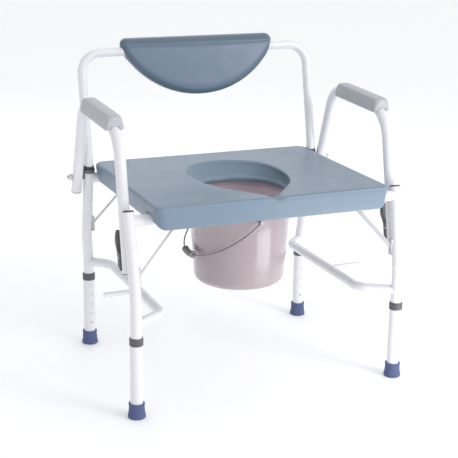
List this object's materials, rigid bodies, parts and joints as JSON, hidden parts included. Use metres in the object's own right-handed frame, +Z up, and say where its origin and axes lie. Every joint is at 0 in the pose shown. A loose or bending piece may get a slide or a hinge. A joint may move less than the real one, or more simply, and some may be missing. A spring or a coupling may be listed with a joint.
{
  "type": "commode chair",
  "caption": "Tube-framed commode chair with drop arms, a lift-up seat over a lift-out pail, a plug-in back and telescopic legs.",
  "frame": {"origin": "on the floor, under the middle of the chair's own box", "axes": "+X to the sitter's left, +Y towards the back, +Z up"},
  "size_m": [0.7144, 0.5218, 0.7752],
  "materials": {
    "frame_white": "glossy white powder coat",
    "fixings": "bright zinc",
    "dark_plastic": "satin moulded",
    "collar_grey": "satin moulded",
    "foot_rubber": "matt moulded rubber",
    "seat_blue": "satin blow-moulded",
    "back_blue": "satin blow-moulded",
    "pad_grey": "satin moulded foam skin",
    "pail_grey": "satin moulded"
  },
  "bodies": {
    "frame": {"front_leg_left": "frame_white", "front_leg_right": "frame_white", "rear_leg_left": "frame_white", "rear_leg_right": "frame_white", "front_cross_tube": "frame_white", "rear_cross_tube": "frame_white", "side_tube_left": "frame_white", "side_tube_right": "frame_white", "arm_stop_bars": "frame_white", "pail_rails": "frame_white", "front_braces": "frame_white", "rear_braces": "frame_white", "brace_rivets": "fixings", "front_leg_caps": "dark_plastic", "rear_leg_guides": "dark_plastic", "arm_pivot_studs": "fixings", "arm_pivot_spacers": "dark_plastic", "arm_pivot_washers": "fixings", "arm_pivot_nuts": "fixings"},
    "arm_left": {"arm_tube_left": "frame_white", "arm_pad_left": "pad_grey", "arm_pad_screws_left": "fixings", "arm_end_plugs_left": "dark_plastic", "lever_pin_left": "fixings"},
    "lever_left": {"release_lever_left": "dark_plastic"},
    "arm_right": {"arm_tube_right": "frame_white", "arm_pad_right": "pad_grey", "arm_pad_screws_right": "fixings", "arm_end_plugs_right": "dark_plastic", "lever_pin_right": "fixings"},
    "lever_right": {"release_lever_right": "dark_plastic"},
    "seat": {"seat": "seat_blue", "seat_hinge_clips": "seat_blue"},
    "pail": {"pail": "pail_grey", "pail_studs": "pail_grey"},
    "bail": {"pail_bail": "fixings", "bail_grip": "pail_grey"},
    "back": {"back_tube": "frame_white", "back_panel": "back_blue", "back_panel_screws": "fixings"},
    "back_button_left": {"back_button_left": "fixings"},
    "back_button_right": {"back_button_right": "fixings"},
    "lower_leg_front_left": {"front_lower_leg_left": "frame_white", "front_leg_collar_left": "collar_grey", "front_foot_left": "foot_rubber"},
    "leg_button_front_left": {"front_leg_button_left": "fixings"},
    "lower_leg_front_right": {"front_lower_leg_right": "frame_white", "front_leg_collar_right": "collar_grey", "front_foot_right": "foot_rubber"},
    "leg_button_front_right": {"front_leg_button_right": "fixings"},
    "lower_leg_rear_left": {"rear_lower_leg_left": "frame_white", "rear_leg_collar_left": "collar_grey", "rear_foot_left": "foot_rubber"},
    "leg_button_rear_left": {"rear_leg_button_left": "fixings"},
    "lower_leg_rear_right": {"rear_lower_leg_right": "frame_white", "rear_leg_collar_right": "collar_grey", "rear_foot_right": "foot_rubber"},
    "leg_button_rear_right": {"rear_leg_button_right": "fixings"}
  },
  "joints": [
    {"name": "arm_drop_left", "type": "hinge", "parent": "frame", "child": "arm_left", "pos_m": [0.331, 0.19125, 0.451], "axis": [1, 0, 0], "range_deg": [0, 75]},
    {"name": "arm_drop_right", "type": "hinge", "parent": "frame", "child": "arm_right", "pos_m": [-0.331, 0.19125, 0.451], "axis": [1, 0, 0], "range_deg": [0, 75]},
    {"name": "lever_squeeze_left", "type": "hinge", "parent": "arm_left", "child": "lever_left", "pos_m": [0.335, -0.175, 0.35502], "axis": [1, 0, 0], "range_deg": [0, 8], "stiffness_Nm_per_rad": 0.6, "springref_deg": -11.46},
    {"name": "lever_squeeze_right", "type": "hinge", "parent": "arm_right", "child": "lever_right", "pos_m": [-0.335, -0.175, 0.35502], "axis": [1, 0, 0], "range_deg": [0, 8], "stiffness_Nm_per_rad": 0.6, "springref_deg": -11.46},
    {"name": "seat_lift", "type": "hinge", "parent": "frame", "child": "seat", "pos_m": [0, 0.19405, 0.4445], "axis": [-1, 0, 0], "range_deg": [0, 77]},
    {"name": "pail_lift", "type": "slide", "parent": "frame", "child": "pail", "axis": [0, 0, 1], "range_m": [0, 0.11]},
    {"name": "bail_swing", "type": "hinge", "parent": "pail", "child": "bail", "pos_m": [0, -0.04575, 0.4], "axis": [0, 1, 0], "range_deg": [0, 50]},
    {"name": "back_lift", "type": "slide", "parent": "frame", "child": "back", "axis": [0, -0.1483, 0.9889], "range_m": [0, 0.06]},
    {"name": "back_button_press_left", "type": "slide", "parent": "back", "child": "back_button_left", "axis": [0, -0.9889, -0.1483], "range_m": [0, 0.0025], "stiffness_N_per_m": 2000, "springref_m": -0.001},
    {"name": "back_button_press_right", "type": "slide", "parent": "back", "child": "back_button_right", "axis": [0, -0.9889, -0.1483], "range_m": [0, 0.0025], "stiffness_N_per_m": 2000, "springref_m": -0.001},
    {"name": "leg_slide_front_left", "type": "slide", "parent": "frame", "child": "lower_leg_front_left", "axis": [0, 0, -1], "range_m": [0, 0.1016]},
    {"name": "leg_button_press_front_left", "type": "slide", "parent": "frame", "child": "leg_button_front_left", "axis": [0, -1, 0], "range_m": [0, 0.0025], "stiffness_N_per_m": 2000, "springref_m": -0.001},
    {"name": "leg_slide_front_right", "type": "slide", "parent": "frame", "child": "lower_leg_front_right", "axis": [0, 0, -1], "range_m": [0, 0.1016]},
    {"name": "leg_button_press_front_right", "type": "slide", "parent": "frame", "child": "leg_button_front_right", "axis": [0, -1, 0], "range_m": [0, 0.0025], "stiffness_N_per_m": 2000, "springref_m": -0.001},
    {"name": "leg_slide_rear_left", "type": "slide", "parent": "frame", "child": "lower_leg_rear_left", "axis": [0, 0, -1], "range_m": [0, 0.1016]},
    {"name": "leg_button_press_rear_left", "type": "slide", "parent": "frame", "child": "leg_button_rear_left", "axis": [0, 1, 0], "range_m": [0, 0.0025], "stiffness_N_per_m": 2000, "springref_m": -0.001},
    {"name": "leg_slide_rear_right", "type": "slide", "parent": "frame", "child": "lower_leg_rear_right", "axis": [0, 0, -1], "range_m": [0, 0.1016]},
    {"name": "leg_button_press_rear_right", "type": "slide", "parent": "frame", "child": "leg_button_rear_right", "axis": [0, 1, 0], "range_m": [0, 0.0025], "stiffness_N_per_m": 2000, "springref_m": -0.001}
  ],
  "couplings": [
    {"joint": "pail_lift", "follows": "seat_lift", "m_per_rad": 0.08}
  ]
}
